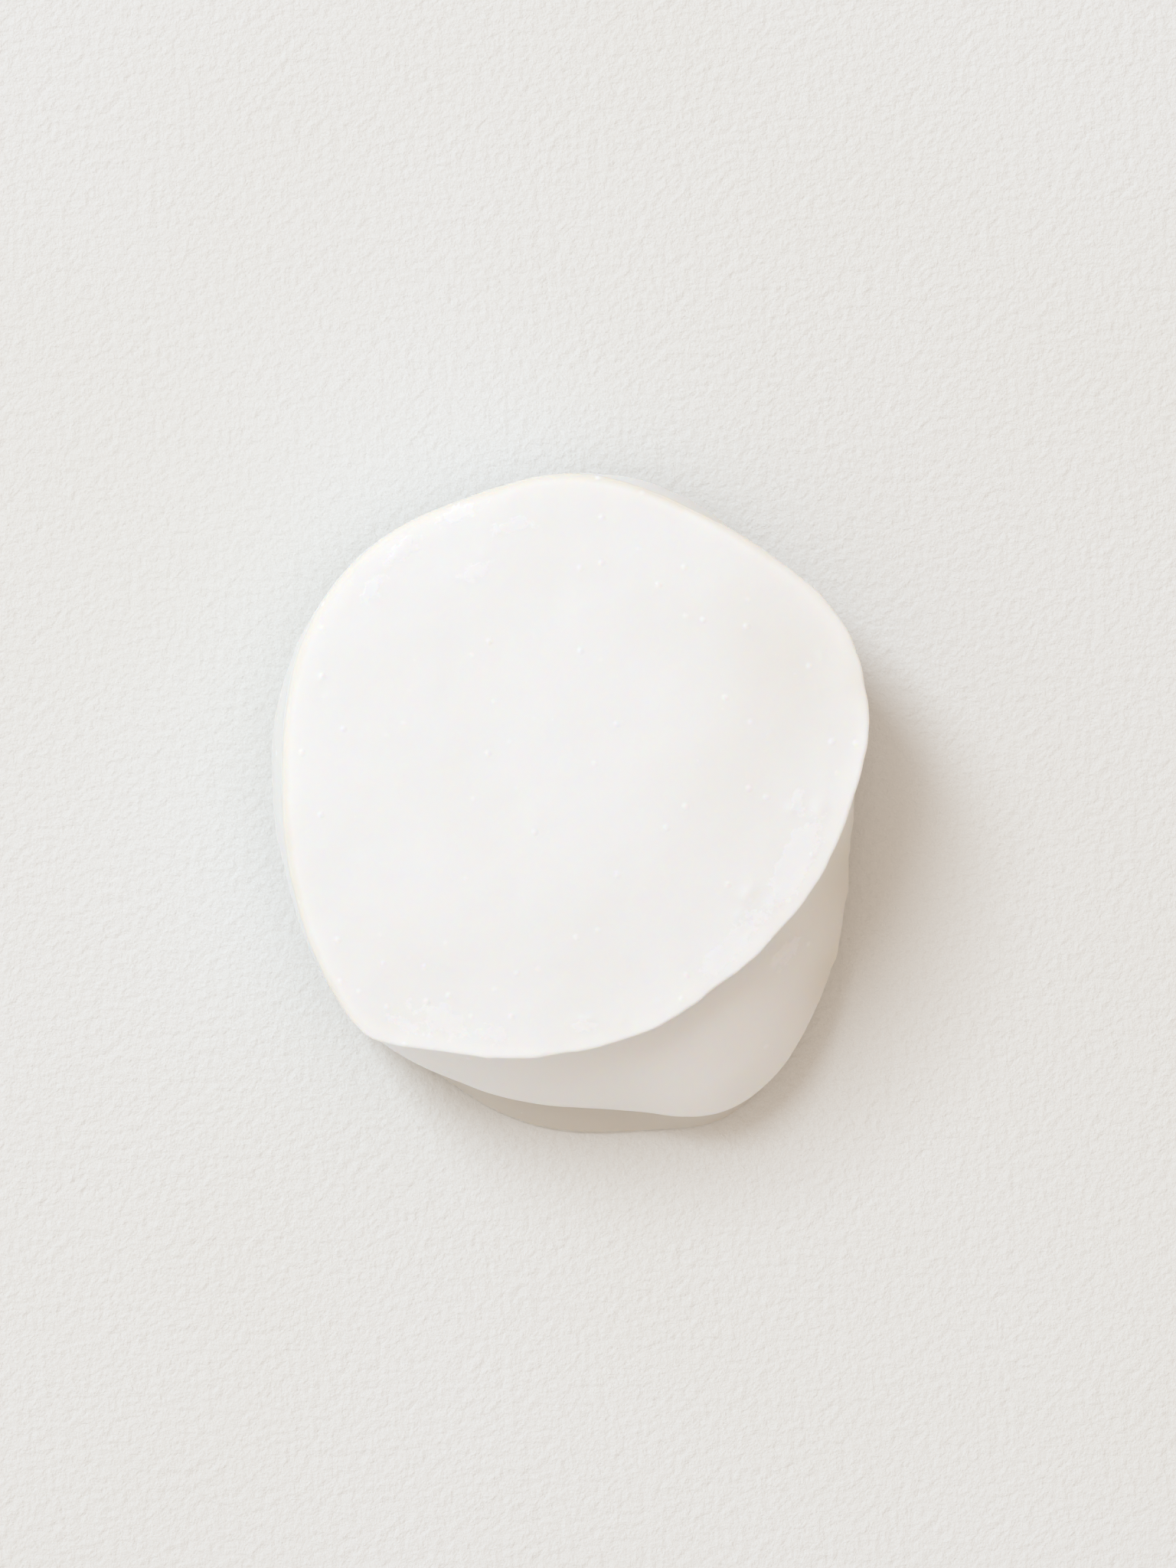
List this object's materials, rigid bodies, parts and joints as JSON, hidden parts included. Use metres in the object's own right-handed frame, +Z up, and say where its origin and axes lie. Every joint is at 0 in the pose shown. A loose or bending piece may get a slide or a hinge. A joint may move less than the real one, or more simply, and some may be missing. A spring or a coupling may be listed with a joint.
{
  "type": "shaving soap puck",
  "caption": "Leaning round cake of soft white shaving soap laid up in layers, with a low-crowned top face and a thin, sharp lip.",
  "frame": {"origin": "on the table, under the middle of the top face", "axes": "+Z up, out of the surface the puck lies on; -Y towards the front, where the tongue and the flared wall are; +X to the right"},
  "size_m": [0.0679, 0.0759, 0.0207],
  "materials": {
    "soap": "pearl white, waxy gloss, slightly translucent"
  },
  "bodies": {
    "root": {"base_layer": "soap", "body_layer": "soap", "top_layer": "soap"}
  },
  "joints": []
}
